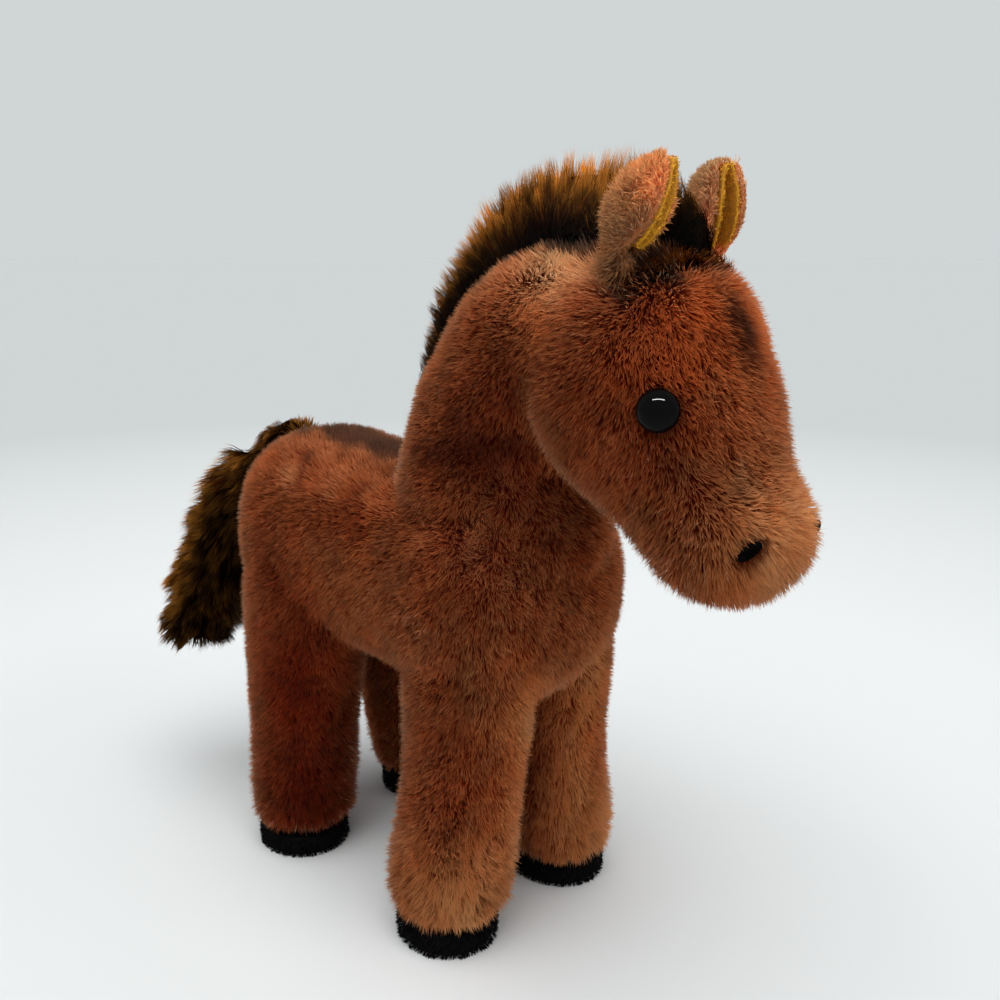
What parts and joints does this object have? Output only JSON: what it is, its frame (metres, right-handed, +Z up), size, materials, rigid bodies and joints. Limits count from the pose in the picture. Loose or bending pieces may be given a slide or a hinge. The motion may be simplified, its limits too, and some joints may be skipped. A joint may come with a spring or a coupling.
{
  "type": "plush horse",
  "caption": "Stuffed plush horse standing on four hooves, with a crest of mane, felt-lined ears, domed eyes and a tail on a moving dock.",
  "frame": {"origin": "bottom centre of the toy's box, on the floor between the hooves", "axes": "+Z up, the toy faces -Y, its left side is +X"},
  "size_m": [0.085, 0.2506, 0.2222],
  "materials": {
    "chestnut_plush": "short plush pile, chestnut, lighter at the tips",
    "black_plush": "very short black plush",
    "yellow_felt": "thin golden yellow felt",
    "eye_plastic": "polished black",
    "washer_plastic": "moulded, hidden in the filling",
    "black_thread": "satin stitch",
    "brown_pile": "long dark brown pile with golden brown tips"
  },
  "bodies": {
    "stuffed_body": {"torso": "chestnut_plush", "neck": "chestnut_plush", "head": "chestnut_plush", "fore_leg_left": "chestnut_plush", "fore_leg_right": "chestnut_plush", "hind_leg_left": "chestnut_plush", "hind_leg_right": "chestnut_plush", "fore_hoof_left": "black_plush", "fore_hoof_right": "black_plush", "hind_hoof_left": "black_plush", "hind_hoof_right": "black_plush", "fore_sole_left": "black_plush", "fore_sole_right": "black_plush", "hind_sole_left": "black_plush", "hind_sole_right": "black_plush", "eye_left": "eye_plastic", "eye_right": "eye_plastic", "eye_washer_left": "washer_plastic", "eye_washer_right": "washer_plastic", "nostril_left": "black_thread", "nostril_right": "black_thread", "mane": "brown_pile"},
    "ear_left": {"ear_shell_left": "chestnut_plush", "ear_lining_left": "yellow_felt"},
    "ear_right": {"ear_shell_right": "chestnut_plush", "ear_lining_right": "yellow_felt"},
    "tail_root": {"tail_dock": "brown_pile"},
    "tail_body": {"tail": "brown_pile"}
  },
  "joints": [
    {"name": "ear_left_bend", "type": "hinge", "parent": "stuffed_body", "child": "ear_left", "pos_m": [0.01741, -0.08514, 0.1972], "axis": [1, 0, 0], "range_deg": [-20, 20], "stiffness_Nm_per_rad": 0.004},
    {"name": "ear_right_bend", "type": "hinge", "parent": "stuffed_body", "child": "ear_right", "pos_m": [-0.01741, -0.08514, 0.1972], "axis": [1, 0, 0], "range_deg": [-20, 20], "stiffness_Nm_per_rad": 0.004},
    {"name": "tail_swing", "type": "hinge", "parent": "stuffed_body", "child": "tail_root", "pos_m": [0, 0.07383, 0.1353], "axis": [0, 0, 1], "range_deg": [-80, 10]},
    {"name": "tail_lift", "type": "hinge", "parent": "tail_root", "child": "tail_body", "pos_m": [0, 0.07383, 0.1353], "axis": [0.8192, 0.5736, 0], "range_deg": [0, 90]}
  ]
}
